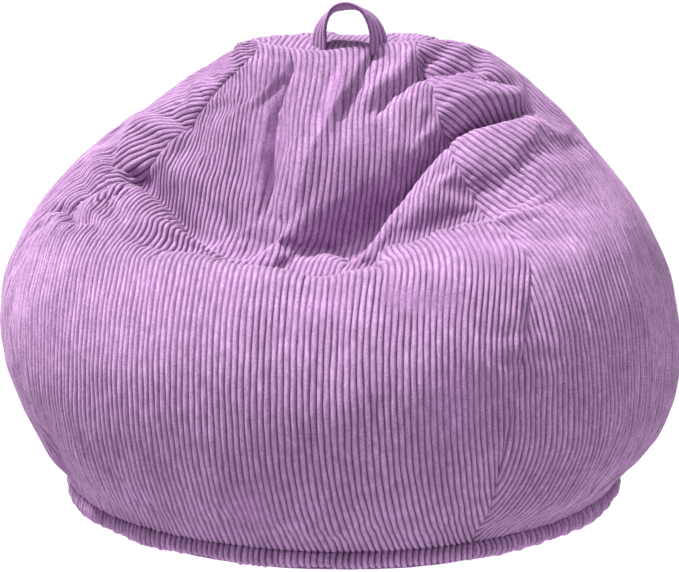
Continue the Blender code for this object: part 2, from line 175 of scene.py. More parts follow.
# 1 all round except near the zip, where the back stays smooth for the slider
AWAY_FROM_ZIP = 1 - smoothstep(np.abs(AZIMUTH), 164.0, 173.0)[None, :]


def unit(v):
    """Vectors scaled to length 1."""
    return v / np.maximum(np.linalg.norm(v, axis=-1, keepdims=True), 1e-12)


def grid_normals(points):
    """Outward normals of a grid that closes on itself along its columns."""
    across = np.roll(points, -1, axis=1) - np.roll(points, 1, axis=1)
    up = np.gradient(points, axis=0)
    return unit(np.cross(across, up))


def waves(points, scale, count, seed):
    """Smooth unevenness between about -1 and 1 at one wavelength."""
    draw = np.random.default_rng(seed)
    total = np.zeros(points.shape[:-1])
    for _ in range(count):
        direction = unit(draw.normal(size=3)) * (2 * math.pi / scale) * draw.uniform(0.75, 1.35)
        total += np.sin(points @ direction + draw.uniform(0, 2 * math.pi))
    return total / math.sqrt(count)


def smooth_line(points, steps=8):
    """Points of a smooth curve through the given points."""
    p = np.array(points, float)
    p = np.vstack([2 * p[0] - p[1], p, 2 * p[-1] - p[-2]])
    out = []
    for i in range(1, len(p) - 2):
        for f in np.arange(steps) / steps:
            out.append(0.5 * (2 * p[i] + (p[i + 1] - p[i - 1]) * f
                              + (2 * p[i - 1] - 5 * p[i] + 4 * p[i + 1] - p[i + 2]) * f**2
                              + (3 * p[i] - p[i - 1] - 3 * p[i + 1] + p[i + 2]) * f**3))
    out.append(p[-2])
    return np.array(out)


def across_line(points, normals, route, reach):
    """Distance to a route, signed by side, and share of the way along it, of the points near it."""
    near = np.all((points > route.min(axis=0) - reach) & (points < route.max(axis=0) + reach), axis=-1)
    p, n = points[near], normals[near]
    best = np.full(len(p), 1e9)
    share = np.zeros(len(p))
    side = np.zeros(len(p))
    length = np.concatenate([[0.0], np.cumsum(np.linalg.norm(np.diff(route, axis=0), axis=1))])
    for i in range(len(route) - 1):
        ab = route[i + 1] - route[i]
        t = np.clip((p - route[i]) @ ab / (ab @ ab), 0, 1)
        off = p - (route[i] + t[:, None] * ab)
        d = np.linalg.norm(off, axis=1)
        closer = d < best
        best[closer] = d[closer]
        share[closer] = ((length[i] + t * math.sqrt(ab @ ab)) / length[-1])[closer]
        side[closer] = np.einsum("ij,ij->i", off, np.cross(n, ab))[closer]
    return near, best * np.sign(side), share


def fold(points, normals, line, depth, width, far=None, lip=0.0, lip_width=None,
         fade=(0.15, 0.15), sharp=1.6):
    """Outward movement of a fold along a line of (azimuth, share).

    Seen along the line from outside, the valley is as wide as width on the right and as wide as far on
    the left; lip raises the right-hand side just past the valley. A negative depth makes a ridge.
    """
    far = far or width
    lip_width = lip_width or width
    line = np.array(line, float)
    route = smooth_line(body_points(line[:, :1], line[:, 1])[:, 0])
    near, d, share = across_line(points, normals, route, 3.2 * max(width, far, lip_width))
    move = -depth * np.exp(-np.abs(d / np.where(d > 0, far, width)) ** sharp)
    move += lip * np.exp(-((d + 1.1 * width + 0.9 * lip_width) / lip_width) ** 2)
    move *= smoothstep(share, 0.0, fade[0])
    move *= 1 - smoothstep(share, 1.0 - fade[1], 1.0)
    out = np.zeros(points.shape[:-1])
    out[near] = move
    return out


# folds of the seat and shoulders, by (azimuth, share of the way up), drawn left to right or top to bottom
FOLDS = [
    # left arm: valley from the seam down into the seat, with the arm's pillow below it
    dict(line=[(-66, 0.64), (-57, 0.65), (-50, 0.67), (-42, 0.681), (-36, 0.681), (-30, 0.668),
               (-22, 0.64)],
         depth=0.021, width=0.008, far=0.026, lip=0.01, lip_width=0.026, fade=(0.2, 0.35)),
    # edge of the left half of the backrest, and the sunk strip beside it
    dict(line=[(-30.5, 0.965), (-27, 0.932), (-26, 0.905), (-25, 0.875), (-21, 0.84), (-18, 0.8),
               (-16.5, 0.735)],
         depth=0.014, width=0.005, far=0.02, lip=0.004, lip_width=0.012, fade=(0.2, 0.3), sharp=1.4),
    # long ridge down the middle of the backrest and the crease on its right
    dict(line=[(7.5, 0.965), (4.5, 0.932), (2, 0.9), (-1.5, 0.878), (-5, 0.856), (-6.5, 0.823),
               (-8.5, 0.757), (-11, 0.71), (-14, 0.675)],
         depth=-0.012, width=0.009, far=0.014, fade=(0.15, 0.45)),
    dict(line=[(21.5, 0.979), (14.5, 0.944), (11, 0.921), (7, 0.905), (3.5, 0.88)],
         depth=0.011, width=0.004, far=0.009, lip=0.003, fade=(0.05, 0.3), sharp=1.2),
    # hollow at the foot of the backrest
    dict(line=[(-5, 0.722), (1, 0.742), (6, 0.757), (12, 0.772), (18, 0.79), (25, 0.803)],
         depth=0.026, width=0.02, far=0.03, fade=(0.3, 0.35)),
    # right half of the seat's front edge, swelling up to the folds behind it
    dict(line=[(13, 0.585), (19, 0.601), (27, 0.606), (34, 0.606), (41, 0.606), (48, 0.604), (56, 0.594),
               (66, 0.57), (76, 0.54)],
         depth=-0.042, width=0.052, far=0.03, fade=(0.22, 0.6)),
    dict(line=[(-48, 0.56), (-40, 0.592), (-32, 0.618), (-24, 0.632), (-16, 0.64), (-8, 0.64),
               (-1, 0.63), (5, 0.61)],
         depth=-0.016, width=0.034, far=0.03, fade=(0.25, 0.55)),
    # dip in that edge, below the hollow
    dict(line=[(12, 0.64), (11, 0.58), (10, 0.53), (9.5, 0.48), (9, 0.43)],
         depth=0.013, width=0.03, fade=(0.25, 0.5)),
    # long fold from the hollow up over the right arm, wide in the seat and narrow past the seam
    dict(line=[(8, 0.7), (14, 0.73), (17, 0.746), (21, 0.768), (25.5, 0.782), (31, 0.801), (36.5, 0.812)],
         depth=0.038, width=0.007, far=0.03, lip=0.008, lip_width=0.042, fade=(0.15, 0.45)),
    dict(line=[(21, 0.768), (25.5, 0.782), (31, 0.801), (36.5, 0.812), (42, 0.82), (48.5, 0.823),
               (57.5, 0.812), (73, 0.779), (95, 0.74)],
         depth=0.028, width=0.007, far=0.016, lip=0.01, lip_width=0.028, fade=(0.2, 0.35)),
    dict(line=[(22.5, 0.703), (28.5, 0.735), (37, 0.757), (47, 0.757), (54.5, 0.735)],
         depth=-0.004, width=0.022, fade=(0.3, 0.3)),
    # shorter fold under it
    dict(line=[(18, 0.638), (24, 0.641), (30, 0.64), (37, 0.64), (44, 0.641), (50, 0.634), (56, 0.608),
               (61, 0.575)],
         depth=0.014, width=0.014, far=0.024, fade=(0.15, 0.6)),
    # dimple where the seat's front edge meets the hollow
    dict(line=[(9.5, 0.703), (12.5, 0.692), (15, 0.679), (17, 0.655)], depth=0.008, width=0.007, far=0.01),
    # folds under the right end of the crown
    dict(line=[(57, 0.965), (47, 0.944), (39, 0.926), (32.5, 0.921), (26, 0.915), (22, 0.905), (18.5, 0.885)],
         depth=0.017, width=0.007, far=0.014, lip=0.005, lip_width=0.01, fade=(0.1, 0.25)),
    dict(line=[(32, 0.926), (43, 0.921), (56.5, 0.911), (68, 0.9), (82, 0.878)],
         depth=0.011, width=0.005, far=0.012, lip=0.007, lip_width=0.01),
    dict(line=[(41.5, 0.9), (53, 0.9), (65, 0.878), (80, 0.845), (93.5, 0.801)],
         depth=0.008, width=0.005, far=0.011, lip=0.005, lip_width=0.01),
    dict(line=[(46, 0.867), (58.5, 0.856), (71.5, 0.823), (87, 0.79)], depth=-0.005, width=0.01),
    # pinches in the left side
    dict(line=[(-80, 0.615), (-74, 0.626), (-66.5, 0.637), (-59, 0.659), (-53, 0.675)],
         depth=0.005, width=0.01, far=0.016, lip=0.003, lip_width=0.014, fade=(0.35, 0.1)),
    dict(line=[(-95, 0.69), (-83, 0.713), (-68, 0.757), (-53, 0.785)],
         depth=0.007, width=0.008, far=0.016, lip=0.003, lip_width=0.014, fade=(0.45, 0.1)),
    dict(line=[(-66, 0.52), (-59, 0.534), (-52, 0.534), (-48, 0.56)],
         depth=0.007, width=0.008, far=0.012, lip=0.004),
    # pinches at the lower right seam
    dict(line=[(33, 0.395), (38, 0.388), (42.5, 0.37), (47, 0.367), (53.5, 0.367), (62.5, 0.372)],
         depth=0.0018, width=0.007, far=0.009),
    dict(line=[(36, 0.415), (41, 0.402), (45, 0.402), (52, 0.41)], depth=0.0016, width=0.007, far=0.009),
]


def base_grid():
    """Smooth body, with its crown turned a little: lower and further forward on the left."""
    points = body_points(np.broadcast_to(AZIMUTH, (len(U), COLUMNS)), U)
    high = smoothstep(points[..., 2], 0.46, 0.525)
    turn = smoothstep(points[..., 0], -0.035, 0.05)
    points[..., 1] += high * (-0.009 + 0.022 * turn)
    points[..., 2] += high * (-0.003 + 0.008 * turn) * (1 - smoothstep(points[..., 1], 0.0, 0.03))
    return points


def folded_grid():
    """Smooth body with its folds, its general unevenness and its wavy hem."""
    body = smoothstep(U, HEM_SHARE * 0.9, HEM_SHARE * 2.2)[:, None]
    body = body * (1 - 0.6 * smoothstep(U, 0.93, 1.0))[:, None]
    move = (0.0018 * waves(BASE, 0.17, 9, 3) + 0.0007 * waves(BASE, 0.065, 12, 8)) * body * AWAY_FROM_ZIP
    for f in FOLDS:
        move += fold(BASE, BASE_NORMALS, **f)
    edge = (smoothstep(U, 0.5, 0.57) * (1 - smoothstep(U, 0.66, 0.72)))[:, None]
    move += edge * 0.006 * waves(BASE, 0.11, 7, 23) * (1 - smoothstep(BASE[..., 1], -0.25, -0.15))
    rim = 1 - smoothstep(U, EDGE_SHARE, HEM_SHARE)[:, None]
    move += rim * (0.0011 * waves(BASE, 0.11, 7, 5) + 0.0006 * waves(BASE, 0.035, 9, 6))
    return BASE + BASE_NORMALS * move[..., None]


# places where the pile is rubbed flat
WORN = [
    dict(line=[(-34, 0.965), (-30, 0.932), (-28, 0.905), (-24, 0.87), (-20, 0.825), (-14, 0.78)],
         width=0.02),
    dict(line=[(4, 0.94), (1, 0.905), (-2, 0.88)], width=0.01),
    dict(line=[(44, 0.91), (60, 0.9), (78, 0.87)], width=0.012),
    dict(line=[(-100, 0.8), (-80, 0.86), (-60, 0.92)], width=0.035),
    dict(line=[(16, 0.6), (26, 0.625), (34, 0.62)], width=0.018),
    dict(line=[(20, 0.47), (30, 0.45), (38, 0.46)], width=0.016),
]


def worn_pile():
    """How flat the pile is rubbed, from 0 to 1, over the master grid."""
    worn = np.maximum(waves(BASE, 0.16, 9, 31) - 0.7, 0.0) * 0.5
    for w in WORN:
        worn += fold(BASE, BASE_NORMALS, w["line"], -1.0, w["width"], fade=(0.25, 0.25))
    return np.clip(worn, 0.0, 1.0) * smoothstep(U, HEM_SHARE, LOW_SHARE)[:, None]


def pooled(field, rows, columns, combine):
    """Field of a closed grid, each value combined with those a few rows and columns around it."""
    around = combine([np.roll(field, k, axis=1) for k in range(-columns, columns + 1)], axis=0)
    padded = np.concatenate([around[:1].repeat(rows, axis=0), around, around[-1:].repeat(rows, axis=0)])
    return combine([padded[k:k + len(field)] for k in range(2 * rows + 1)], axis=0)


def side_faces(rows, columns, closed=True):
    """Faces of a grid that closes on itself along its columns, or of one with four edges."""
    return [[r * columns + c, r * columns + (c + 1) % columns,
             (r + 1) * columns + (c + 1) % columns, (r + 1) * columns + c]
            for r in range(rows - 1) for c in range(columns if closed else columns - 1)]


def end_faces(rows, columns):
    """One face for each end of a grid that closes on itself along its columns."""
    return [list(range(columns))[::-1], [(rows - 1) * columns + c for c in range(columns)]]


# half the width of the strip that each seam holds still, in degrees
HELD_HALF_WIDTH = 0.55


def held_weights(shares, azimuth):
    """1 for the coarse points that the hem, the crown and the seams hold still, and 0 for the others."""
    weight = np.zeros((len(shares), len(azimuth)))
    weight[shares < HEM_SHARE + 0.004] = 1.0
    weight[shares > 0.965] = 1.0
    for levels in (FRONT_RIGHT_SEAM, FRONT_LEFT_SEAM, BACK_RIGHT_SEAM, BACK_LEFT_SEAM):
        weight[np.abs(azimuth[None] - along(levels, shares)) < HELD_HALF_WIDTH] = 1.0
    weight[:, np.abs(np.abs(azimuth) - 180.0) < HELD_HALF_WIDTH] = 1.0
    return weight


CLOTH_FRAMES = 20


CLOTH = dict(quality=6, mass=0.4, vertex_group_mass="held", shrink_min=-0.045, tension_stiffness=30,
             compression_stiffness=30, shear_stiffness=12, bending_stiffness=0.6, use_pressure=True,
             uniform_pressure_force=4)


def set_cloth(item):
    """Stuffed cotton cloth: it grows a little and is pressed outwards, with no gravity."""
    made = item.modifiers.new("cloth", "CLOTH")
    for name, value in CLOTH.items():
        setattr(made.settings, name, value)
    made.settings.effector_weights.gravity = 0
    made.collision_settings.use_collision = False


def simulated(coarse, weight):
    """Movement of each point of a coarse closed grid of cloth, held where its weight is 1."""
    mesh = bpy.data.meshes.new("relief")
    mesh.from_pydata(coarse.reshape(-1, 3).tolist(), [], side_faces(*weight.shape))
    item = bpy.data.objects.new("relief", mesh)
    scene = bpy.context.scene
    scene.collection.objects.link(item)
    held = item.vertex_groups.new(name="held")
    held.add(np.flatnonzero(weight.reshape(-1) > 0.5).tolist(), 1.0, "REPLACE")
    set_cloth(item)
    scene.frame_start = 1
    scene.frame_end = CLOTH_FRAMES
    for f in range(1, CLOTH_FRAMES + 1):
        scene.frame_set(f)
    done = item.evaluated_get(bpy.context.evaluated_depsgraph_get()).data
    after = np.empty(len(done.vertices) * 3)
    done.vertices.foreach_get("co", after)
    bpy.data.objects.remove(item)
    scene.frame_set(1)
    return after.reshape(coarse.shape) - coarse


# the most that the simulation may move the cloth, and how much of its movement two places lose
RELIEF_CAP = 0.009
BELLY_CALM = 0.45
FRONT_SEAM_CALM = 0.6


def calmed(moved, shares, azimuth):
    """Movement without its broad swelling, capped, and smaller on the belly and by the front right seam."""
    moved = moved - pooled(moved, 9, 14, np.mean)
    moved = moved * smoothstep(shares, HEM_SHARE, LOW_SHARE)[:, None, None]
    belly = smoothstep(shares, 0.1, 0.16) * (1 - smoothstep(shares, 0.44, 0.54))
    moved = moved * (1 - BELLY_CALM * belly[:, None, None])
    near_seam = np.exp(-((azimuth[None] - 44.0) / 14.0) ** 2) * (1 - smoothstep(shares, 0.5, 0.6))[:, None]
    moved = moved * (1 - FRONT_SEAM_CALM * near_seam[..., None])
    size = np.linalg.norm(moved, axis=-1, keepdims=True)
    return moved * (RELIEF_CAP * np.tanh(size / RELIEF_CAP) / np.maximum(size, 1e-9))


def cloth_relief(points):
    """Puckers and soft bulges of the stuffed cover between its seams, from a short cloth simulation."""
    rows = np.arange(HEM_ROWS - 1, len(U), 2)
    step = COLUMNS // 360
    shares = U[rows]
    azimuth = AZIMUTH[::step]
    moved = simulated(points[rows][:, ::step], held_weights(shares, azimuth))
    moved = calmed(moved, shares, azimuth)
    moved = np.concatenate([moved, moved[:, :1]], axis=1)
    columns = np.arange(COLUMNS) / step
    low = columns.astype(int)
    f = (columns - low)[None, :, None]
    wide = moved[:, low] * (1 - f) + moved[:, low + 1] * f
    place = np.interp(U, shares, np.arange(len(rows)))
    low = np.minimum(place.astype(int), len(rows) - 2)
    f = (place - low)[:, None, None]
    return (wide[low] * (1 - f) + wide[low + 1] * f) * AWAY_FROM_ZIP[..., None]


# the cloth under the wales stays this far above the floor
LOWEST = 0.0025
BASE = base_grid()
BASE_NORMALS = grid_normals(BASE)
BASE_ARCS = np.concatenate([np.zeros((len(U), 1)), np.cumsum(
    np.linalg.norm(np.roll(BASE, -1, axis=1) - BASE, axis=-1), axis=1)], axis=1)
MASTER = folded_grid()
MASTER = MASTER + cloth_relief(MASTER)
MASTER[..., 2] = np.maximum(MASTER[..., 2], LOWEST)
MASTER_NORMALS = grid_normals(MASTER)
WEAR = worn_pile()


# -------- corduroy gores
# distance between wales, and their section: place across one wale, and height there
PITCH = 0.007
WALE_STEPS = np.array([0.0, 0.13, 0.31, 0.5, 0.69, 0.87])
WALE_HEIGHTS = np.array([0.0, 0.62, 0.92, 1.0, 0.92, 0.62])
WALE_HEIGHT = 0.0034
SEAM_DEPTH = 0.0009
SEAM_WIDTH = 0.0024
# the cloth folded in along the zip slot, and into the crown
SLOT_DEPTH = 0.0028
SLOT_WIDTH = 0.0022
CROWN_DEPTH = 0.0035
CROWN_WIDTH = 0.005
# how much taller the wales are on the sides and the hem, and how much lower in the seat and where worn
SIDE_TALLER = 0.42
HEM_TALLER = 0.3
SEAT_LOWER = 0.5
WORN_LOWER = 0.8
# the sides begin and are full this many degrees away from this azimuth
FRONT_MIDDLE = 17.0
SIDES = (20.0, 55.0)
# the wales on the hem stay this far above the floor
CLEAR_OF_FLOOR = 0.0003
# how a bare place between wales counts in the colour
FLAT_CORD = 0.62
# metres up the body at each row
WAY = np.concatenate([[0.0], np.cumsum(MEAN_LENGTH * np.diff(U))])
# how far a seam is open at each row, where it is sewn shut all the way
SEWN = np.zeros(len(U))


def row_sample(row, azimuth):
    """Points, normals and wear of one master row at any azimuths."""
    place = (np.asarray(azimuth) + 180.0) / 360.0 * COLUMNS
    low = np.floor(place).astype(int)
    f = (place - low)[:, None]
    a, b = low % COLUMNS, (low + 1) % COLUMNS
    return (MASTER[row][a] * (1 - f) + MASTER[row][b] * f,
            unit(MASTER_NORMALS[row][a] * (1 - f) + MASTER_NORMALS[row][b] * f),
            WEAR[row][a] * (1 - f[:, 0]) + WEAR[row][b] * f[:, 0])


def arc_at(row, azimuth):
    """Length along one row of the smooth body from azimuth -180 to any azimuths up to 180."""
    return np.interp(azimuth, np.append(AZIMUTH, 180.0), BASE_ARCS[row])


def new_object(name, points, faces, material, smooth=True, cord=None, lay=None):
    """Mesh object; cord is each point's height on its wale, which sets the painted shade between the wales,
    and lay its place on the flat cloth.
    """
    mesh = bpy.data.meshes.new(name)
    mesh.from_pydata(np.reshape(points, (-1, 3)).tolist(), [], faces)
    mesh.update()
    if smooth:
        mesh.shade_smooth()
    if cord is not None:
        mesh.attributes.new("cord", "FLOAT", "POINT").data.foreach_set("value", np.asarray(cord, np.float32))
        lay = np.concatenate([lay, np.zeros((len(lay), 1))], axis=1).astype(np.float32)
        mesh.attributes.new("lay", "FLOAT_VECTOR", "POINT").data.foreach_set("vector", lay.reshape(-1))
    mesh.materials.append(material)
    item = bpy.data.objects.new(name, mesh)
    bpy.context.scene.collection.objects.link(item)
    return item


def row_spans(low_edge, high_edge, grain):
    """For each row, azimuths from seam to seam and their distances along the row from the grain line."""
    spans = []
    for r in range(len(U)):
        a = np.linspace(low_edge[r], max(high_edge[r], low_edge[r] + 1e-3), 400)
        spans.append((a, arc_at(r, a) - arc_at(r, grain[r])))
    return spans


def wobble(row, phase):
    """Sideways unevenness of the wales on one row, stronger where they gather just above the hem."""
    way = WAY[row]
    moved = 0.0003 * np.sin(way / 0.009 + 9.0 * np.sin(phase * 0.37))
    moved += 0.00035 * np.sin(way / 0.031 + phase * 0.55)
    gathered = math.exp(-((way - WAY[HEM_ROWS]) / 0.016 - 0.6) ** 2)
    return moved + gathered * (0.001 * np.sin(phase * 0.83) + 0.0008 * np.sin(phase * 0.41 + 1.0))


def wale_columns(spans):
    """Place of every column of a panel, in wales from its grain line, and its height on its wale."""
    first = int(math.floor(min(s[0] for _, s in spans) / PITCH)) - 1
    last = int(math.ceil(max(s[-1] for _, s in spans) / PITCH)) + 1
    wales = np.arange(first, last)
    return (wales[:, None] + WALE_STEPS).reshape(-1), np.tile(WALE_HEIGHTS, len(wales))


def row_distances(row, phase, s):
    """Distance of each column from the grain line on one row, kept between the seams, and the end columns."""
    w = phase * PITCH + wobble(row, phase)
    inside = (w > s[0] + 0.0006) & (w < s[-1] - 0.0006)
    if not inside.any():
        inside[np.argmin(np.abs(w - 0.5 * (s[0] + s[-1])))] = True
    first, last = np.flatnonzero(inside)[[0, -1]]
    first = max(first - 1, 0)
    last = min(last + 1, len(phase) - 1)
    w[:first + 1] = s[0]
    w[last:] = s[-1]
    return np.clip(w, s[0], s[-1]), first, last


def seam_tuck(to_edges, open_shares, body, top):
    """How far the cloth dips into its two seams, or the zip slot where that is open, and into the crown."""
    tuck = np.zeros(len(to_edges[0]))
    for d, share in zip(to_edges, open_shares):
        tuck += SEAM_DEPTH * np.exp(-(d / SEAM_WIDTH) ** 1.3) * (1 - share)
        tuck += SLOT_DEPTH * np.exp(-(d / SLOT_WIDTH) ** 1.6) * share
    return tuck * (0.35 + 0.65 * body) + CROWN_DEPTH * math.exp(-(top / CROWN_WIDTH) ** 1.3)


def wale_heights(row, phase, azimuth, worn, edge, body, top):
    """Wale height over one row: more on the hem and the sides, less in the seat and where worn."""
    height = WALE_HEIGHT * (1 + 0.1 * np.sin(WAY[row] / 0.023 + phase * 1.7) + 0.08 * np.sin(phase * 2.9))
    sideways = smoothstep(np.abs(azimuth - FRONT_MIDDLE), *SIDES)
    sideways = sideways * (1 - smoothstep(np.abs(azimuth), 145.0, 170.0))
    height = height * (1 + HEM_TALLER - HEM_TALLER * body) * (1 + SIDE_TALLER * sideways)
    height = height * (1 - WORN_LOWER * worn) * (1 - SEAT_LOWER * smoothstep(U[row], 0.56, 0.74))
    return height * smoothstep(edge, -0.0018, 0.0016) * (0.4 + 0.6 * smoothstep(top, 0.0, 0.006))


def gore(name, low_edge, high_edge, grain, low_open=SEWN, high_open=SEWN):
    """Corduroy panel between two seams: its wales run parallel to the grain line and end in the seams."""
    rows = len(U)
    low_edge, high_edge, grain = [np.broadcast_to(e, (rows,)).astype(float)
                                  for e in (low_edge, high_edge, grain)]
    spans = row_spans(low_edge, high_edge, grain)
    phase, relief = wale_columns(spans)
    columns = len(phase)
    points = np.zeros((rows, columns, 3))
    cord = np.zeros((rows, columns))
    flat = np.zeros((rows, columns, 2))
    used = np.zeros((rows, columns), int)
    for r, (a, s) in enumerate(spans):
        w, first, last = row_distances(r, phase, s)
        azimuth = np.interp(w, s, a)
        p, n, worn = row_sample(r, azimuth)
        to_edges = (w - s[0], s[-1] - w)
        edge = np.minimum(*to_edges)
        body = smoothstep(U[r], GROOVE_SHARE * 0.9, HEM_SHARE * 1.3)
        top = (1 - U[r]) * MEAN_LENGTH
        tuck = seam_tuck(to_edges, (low_open[r], high_open[r]), body, top)
        height = wale_heights(r, phase, azimuth, worn, edge, body, top)
        points[r] = p + n * (relief * height - tuck)[:, None]
        points[r, :, 2] = np.maximum(points[r, :, 2], CLEAR_OF_FLOOR)
        # cord sets the painted shade between the wales; it evens out to FLAT_CORD near the seams and where
        # the pile is worn
        kept = smoothstep(edge, -0.0015, 0.0012) * (1 - 0.75 * worn)
        cord[r] = relief * kept + FLAT_CORD * (1 - kept)
        flat[r, :, 0] = phase * PITCH
        flat[r, :, 1] = WAY[r]
        used[r] = np.clip(np.arange(columns), first, last)
    faces, keep = grid_faces(used, columns)
    return new_object(name, points.reshape(-1, 3)[keep], faces, CORD,
                      cord=cord.reshape(-1)[keep], lay=flat.reshape(-1, 2)[keep])


def face_outwards(item):
    """Turn every face of a closed piece outwards."""
    shape = bmesh.new()
    shape.from_mesh(item.data)
    bmesh.ops.recalc_face_normals(shape, faces=shape.faces)
    shape.to_mesh(item.data)
    shape.free()


def grid_faces(used, columns):
    """Faces of a grid whose outer columns are clamped onto its edges, and the vertices that they use."""
    rows = len(used)
    index = used + np.arange(rows)[:, None] * columns
    quads = np.stack([index[:-1, :-1], index[:-1, 1:], index[1:, 1:], index[1:, :-1]], axis=-1).reshape(-1, 4)
    whole = np.all([quads[:, i] != quads[:, (i + 1) % 4] for i in range(4)], axis=0)
    faces = quads[whole].tolist()
    for q in quads[~whole].tolist():
        kept = [v for i, v in enumerate(q) if v != q[i - 1]]
        if len(set(kept)) >= 3:
            faces.append(kept)
    keep = np.unique(np.concatenate([np.array(f) for f in faces]))
    lookup = np.full(rows * columns, -1)
    lookup[keep] = np.arange(len(keep))
    return [[int(lookup[v]) for v in f] for f in faces], keep


# -------- materials
def new_material(name):
    """Material, its node tree, its shader, and its coordinates in space."""
    material = bpy.data.materials.new(name)
    material.use_nodes = True
    tree = material.node_tree
    place = tree.nodes.new("ShaderNodeTexCoord").outputs["Object"]
    return material, tree, tree.nodes["Principled BSDF"], place


def link(tree, a, b):
    """Join a node's output a to another node's input b."""
    tree.links.new(a, b)


def bump(tree, shader, height, strength, distance):
    """Relief of the surface from a height, as deep as distance in metres."""
    made = tree.nodes.new("ShaderNodeBump")
    set_inputs(made, {"Strength": strength, "Distance": distance})
    link(tree, height, made.inputs["Height"])
    link(tree, made.outputs["Normal"], shader.inputs["Normal"])
    return made


def ramp(tree, factor, stops):
    """Colour read off stops of (place, colour or grey)."""
    made = tree.nodes.new("ShaderNodeValToRGB")
    while len(made.color_ramp.elements) < len(stops):
        made.color_ramp.elements.new(0.5)
    for element, (place, colour) in zip(made.color_ramp.elements, stops):
        element.position = place
        element.color = (*np.broadcast_to(colour, 3), 1.0)
    link(tree, factor, made.inputs["Fac"])
    return made.outputs["Color"]


def set_inputs(node, values):
    """Set a node's inputs to values, by name."""
    for name, value in values.items():
        node.inputs[name].default_value = value


def mix(tree, kind, factor, a, b):
    """Colours a and b mixed; each of them, and the factor, is a value or another node's output."""
    made = tree.nodes.new("ShaderNodeMix")
    made.data_type = "RGBA"
    made.blend_type = kind
    if isinstance(factor, float):
        made.inputs[0].default_value = factor
    else:
        link(tree, factor, made.inputs[0])
    for slot, value in ((6, a), (7, b)):
        if isinstance(value, tuple):
            made.inputs[slot].default_value = (*value, 1.0)
        else:
            link(tree, value, made.inputs[slot])
    return made.outputs[2]


def noise(tree, coordinates, scale, detail=3.0, rough=0.55, stretch=None):
    """Noise at a scale per metre."""
    if stretch:
        mapping = tree.nodes.new("ShaderNodeMapping")
        mapping.inputs["Scale"].default_value = stretch
        link(tree, coordinates, mapping.inputs["Vector"])
        coordinates = mapping.outputs["Vector"]
    made = tree.nodes.new("ShaderNodeTexNoise")
    set_inputs(made, {"Scale": scale, "Detail": detail, "Roughness": rough})
    link(tree, coordinates, made.inputs["Vector"])
    return made.outputs["Fac"]


# colour between the wales, on their flanks and on their crests: the dark between the wales is painted shade
WALE_COLOURS_WITH_GROOVE_SHADE = [(0.0, (0.168, 0.057, 0.208)), (0.45, (0.318, 0.152, 0.355)),
                (0.85, (0.455, 0.26, 0.483)), (1.0, (0.505, 0.315, 0.53))]


def mottled(tree, colour, solid, flat):
    """Colour made uneven by patches in space and, more and more finely, over the flat cloth."""
    for coordinates, scale, stretch, dark, light in (
            (solid, 22.0, None, 0.86, 1.12),
            (flat, 170.0, (1.0, 0.45, 1.0), 0.8, 1.16),
            (flat, 620.0, (1.0, 0.75, 1.0), 0.74, 1.24),
            (flat, 1500.0, (1.0, 1.0, 1.0), 0.66, 1.3)):
        grain = noise(tree, coordinates, scale, 2.0, 0.6, stretch)
        shade = ramp(tree, grain, [(0.3, (dark, dark * 0.98, dark)), (0.7, (light, light * 1.02, light))])
        colour = mix(tree, "MULTIPLY", 1.0, colour, shade)
    return colour


def corduroy(name):
    """Brushed cotton corduroy: painted shade between the wales, mottled along them, with a soft bloom at the
    edges.
    """
    material, tree, shader, place = new_material(name)
    lay = tree.nodes.new("ShaderNodeAttribute")
    lay.attribute_name = "lay"
    flat = lay.outputs["Vector"]
    cord = tree.nodes.new("ShaderNodeAttribute")
    cord.attribute_name = "cord"
    # height on the wale picks the colour: painted shade between the wales, lighter up to the crests
    colour = mottled(tree, ramp(tree, cord.outputs["Fac"], WALE_COLOURS_WITH_GROOVE_SHADE), place, flat)
    link(tree, colour, shader.inputs["Base Color"])
    set_inputs(shader, {"Roughness": 0.92, "Specular IOR Level": 0.12, "Sheen Weight": 0.3,
                        "Sheen Roughness": 0.45, "Sheen Tint": (0.92, 0.78, 0.94, 1.0)})
    bump(tree, shader, noise(tree, flat, 800.0, 3.0, 0.7), 0.9, 0.0013)
    material.diffuse_color = (0.5, 0.28, 0.54, 1.0)
    return material


def woven(name, dark, light, scale=700.0):
    """Plain woven cloth, tape or thread, with diagonal threads at a scale per metre."""
    material, tree, shader, place = new_material(name)
    wave = tree.nodes.new("ShaderNodeTexWave")
    wave.wave_type = "BANDS"
    wave.bands_direction = "DIAGONAL"
    set_inputs(wave, {"Scale": scale, "Distortion": 1.5})
    link(tree, place, wave.inputs["Vector"])
    grain = noise(tree, place, scale * 1.3, 3.0, 0.6)
    colour = mix(tree, "MIX", wave.outputs["Fac"], dark, light)
    shade = ramp(tree, grain, [(0.3, 0.82), (0.7, 1.12)])
    link(tree, mix(tree, "MULTIPLY", 1.0, colour, shade), shader.inputs["Base Color"])
    shader.inputs["Roughness"].default_value = 0.85
    bump(tree, shader, wave.outputs["Fac"], 0.5, 0.0003)
    return material


def plated(name):
    """Nickel-plated metal, a little uneven."""
    material, tree, shader, place = new_material(name)
    grain = noise(tree, place, 900.0, 2.0, 0.5)
    colour = ramp(tree, grain, [(0.2, (0.52, 0.51, 0.5)), (0.8, (0.7, 0.69, 0.68))])
    link(tree, colour, shader.inputs["Base Color"])
    rough = ramp(tree, grain, [(0.2, 0.22), (0.8, 0.38)])
    link(tree, rough, shader.inputs["Roughness"])
    shader.inputs["Metallic"].default_value = 1.0
    return material


